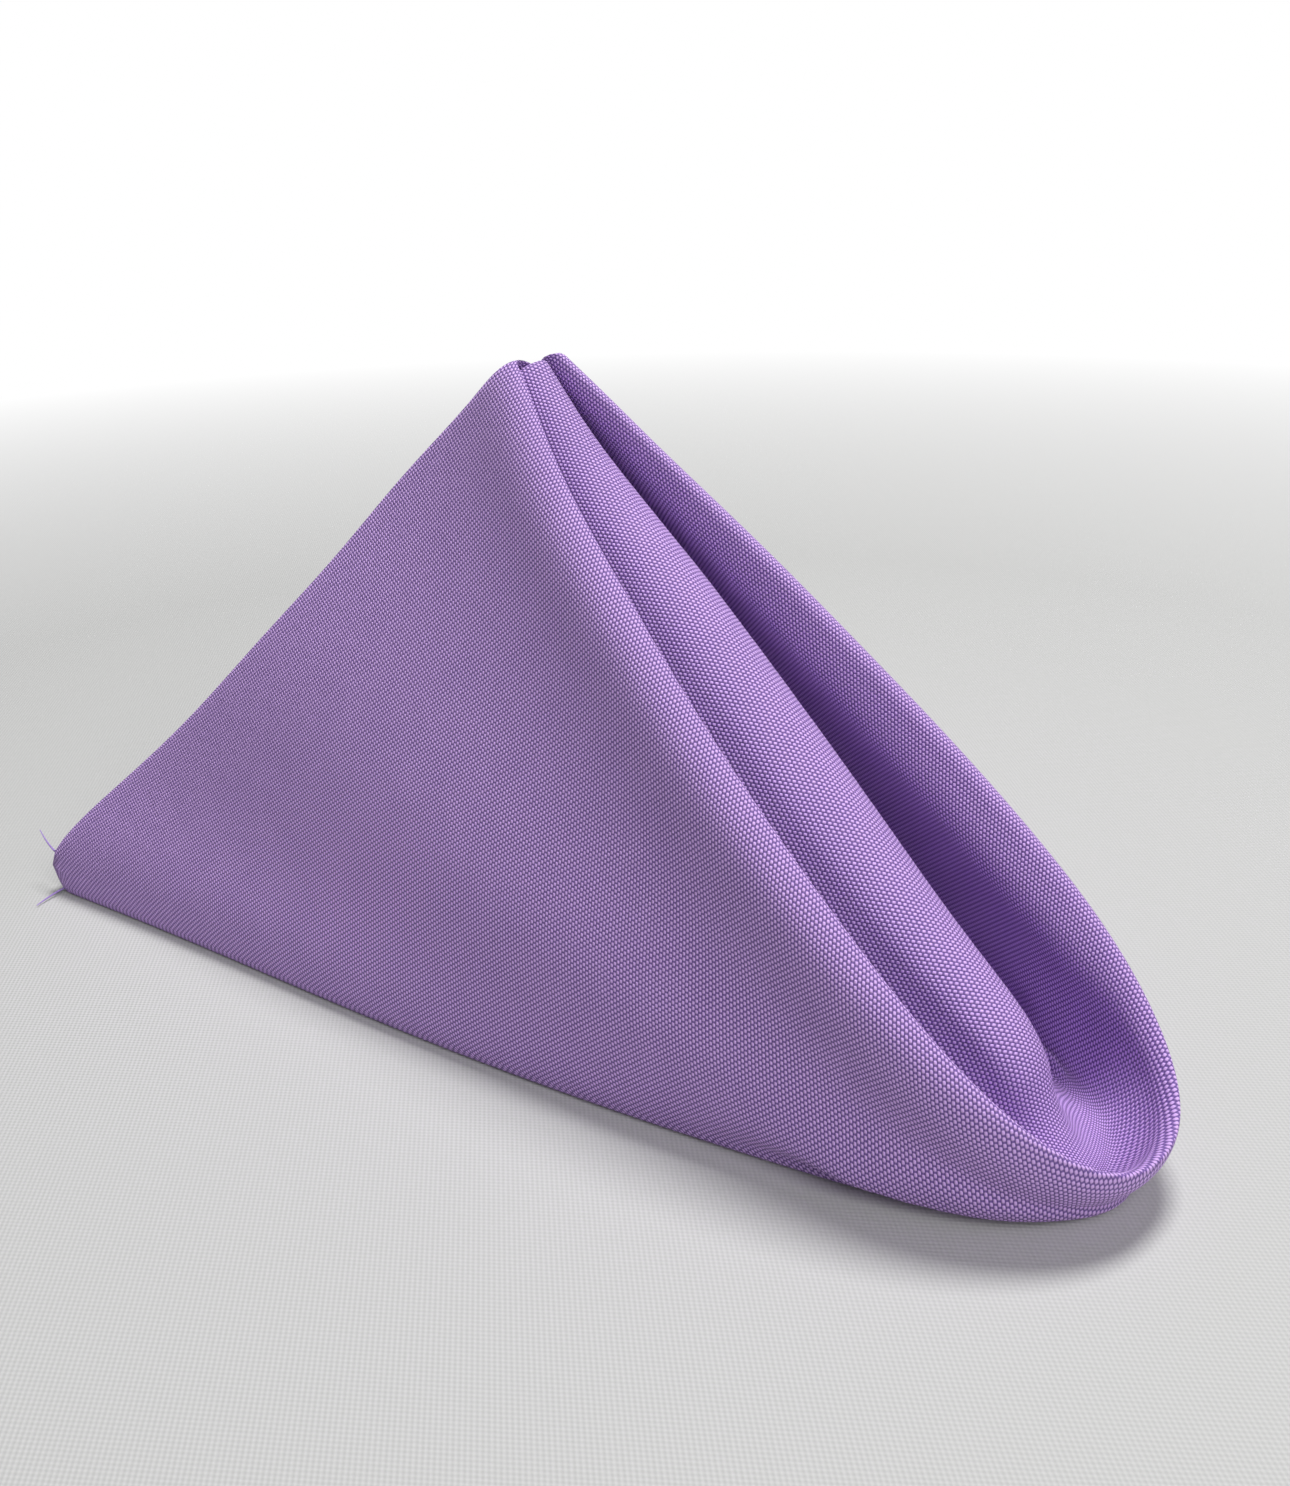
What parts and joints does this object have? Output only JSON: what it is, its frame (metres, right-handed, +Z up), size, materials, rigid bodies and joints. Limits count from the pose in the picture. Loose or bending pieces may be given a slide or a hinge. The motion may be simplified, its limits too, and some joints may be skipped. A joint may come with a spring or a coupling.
{
  "type": "folded cloth napkin",
  "caption": "Square woven cloth napkin folded into a standing pyramid: two rolled flaps meet round a blunt toe, with a ridge between them and an open tent behind.",
  "frame": {"origin": "middle of the outline, on the table", "axes": "+X from the open end towards the toe, +Y towards the far flap, +Z up"},
  "size_m": [0.2232, 0.1318, 0.1164],
  "materials": {
    "cloth": "matt plain-weave polyester"
  },
  "bodies": {
    "root": {"napkin": "cloth"}
  },
  "joints": []
}
